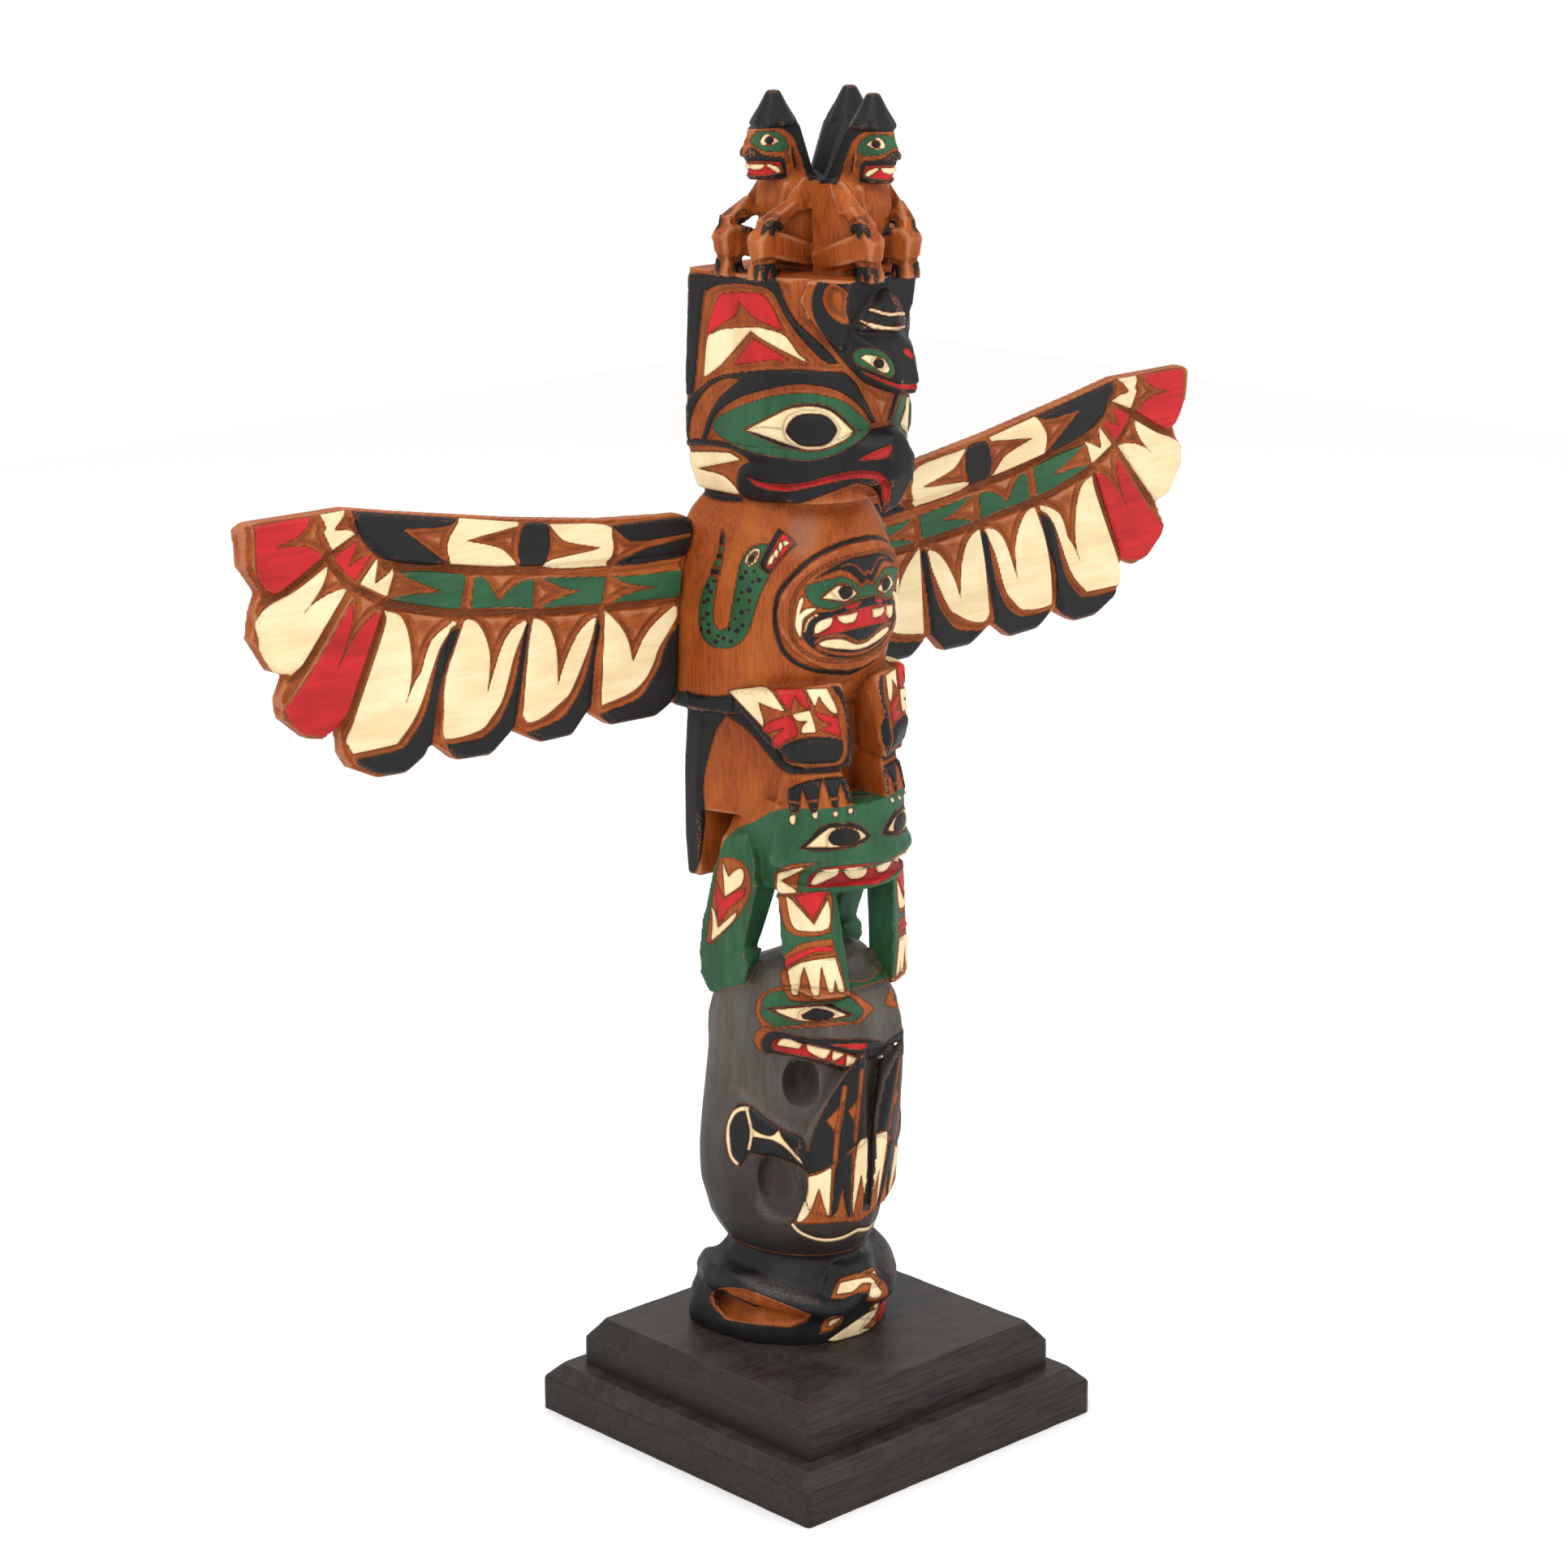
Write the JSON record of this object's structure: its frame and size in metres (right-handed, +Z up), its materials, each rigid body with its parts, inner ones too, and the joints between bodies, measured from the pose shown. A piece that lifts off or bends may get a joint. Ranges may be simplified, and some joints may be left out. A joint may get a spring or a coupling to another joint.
{
  "type": "totem pole",
  "caption": "Winged wooden totem pole with stacked carved and painted figures, seated watchmen on the crown, and a stepped square base",
  "frame": {"origin": "centre of the underside of the lower base board, on the surface the object stands on", "axes": "+Z up; the figures face -Y; the wings spread along X"},
  "size_m": [0.96, 0.305, 1.0336],
  "materials": {
    "base_stain": "black stained, satin, dusty on top",
    "carved_cedar": "knife-carved cedar, hand-painted, satin",
    "wing_cedar": "knife-carved cedar board, hand-painted, satin"
  },
  "bodies": {
    "root": {"lower_base_board": "base_stain", "upper_base_board": "base_stain", "carved_pole": "carved_cedar", "eagle_right_wing": "wing_cedar", "eagle_left_wing": "wing_cedar"}
  },
  "joints": []
}
